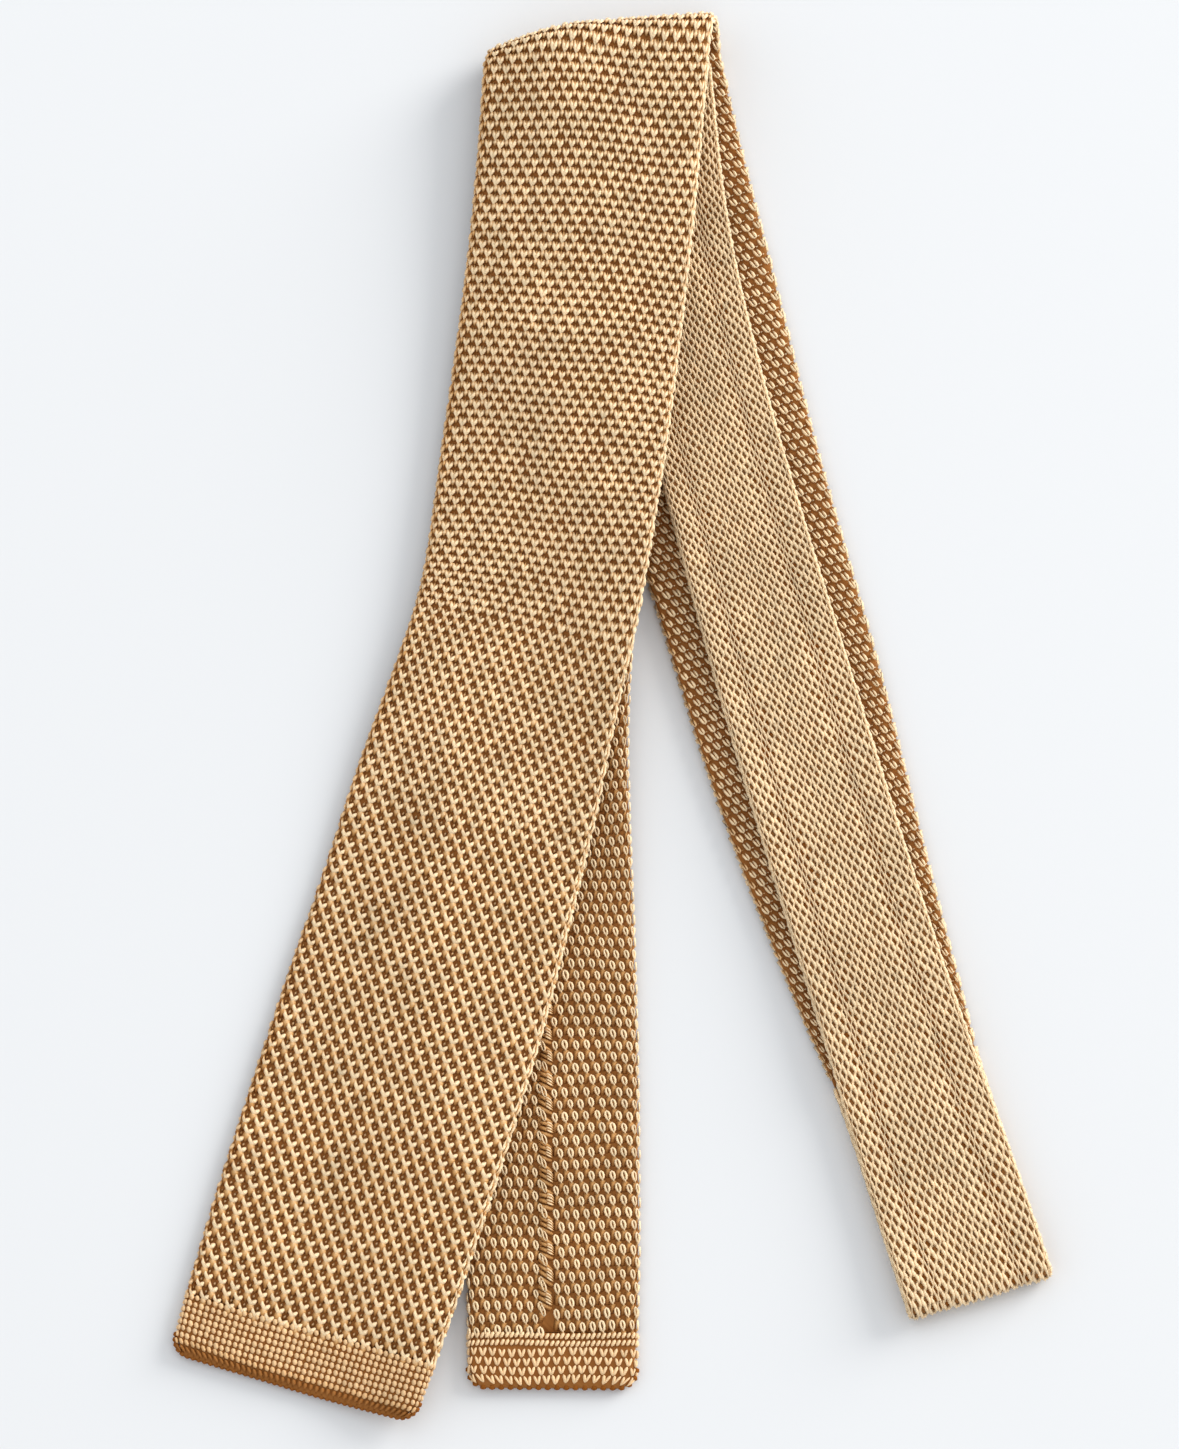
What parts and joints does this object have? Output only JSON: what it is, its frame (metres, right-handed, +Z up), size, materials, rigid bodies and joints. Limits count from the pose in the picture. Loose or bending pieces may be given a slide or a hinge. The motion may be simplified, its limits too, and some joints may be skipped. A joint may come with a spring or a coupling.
{
  "type": "knit tie",
  "caption": "Knit necktie folded in four and laid flat, with an open-stitch wide blade on top, a fine-mesh neck band, a seamed tail and ribbed hem bands.",
  "frame": {"origin": "middle of the tie's box in plan, on the floor that it lies on", "axes": "+Y from the hems towards the top folds, +X towards the neck band's side, +Z up out of the wide blade's front face"},
  "size_m": [0.2218, 0.369, 0.0164],
  "materials": {
    "coarse_knit": "silky open knit",
    "fine_knit": "silky fine mesh",
    "hem_knit": "tight ribbed knit",
    "seam_thread": "loopy stitched thread"
  },
  "bodies": {
    "root": {"wide_blade": "coarse_knit", "blade_hem": "hem_knit", "neck_band": "fine_knit", "tail_blade": "coarse_knit", "tail_hem": "hem_knit", "tail_seam": "seam_thread"}
  },
  "joints": []
}
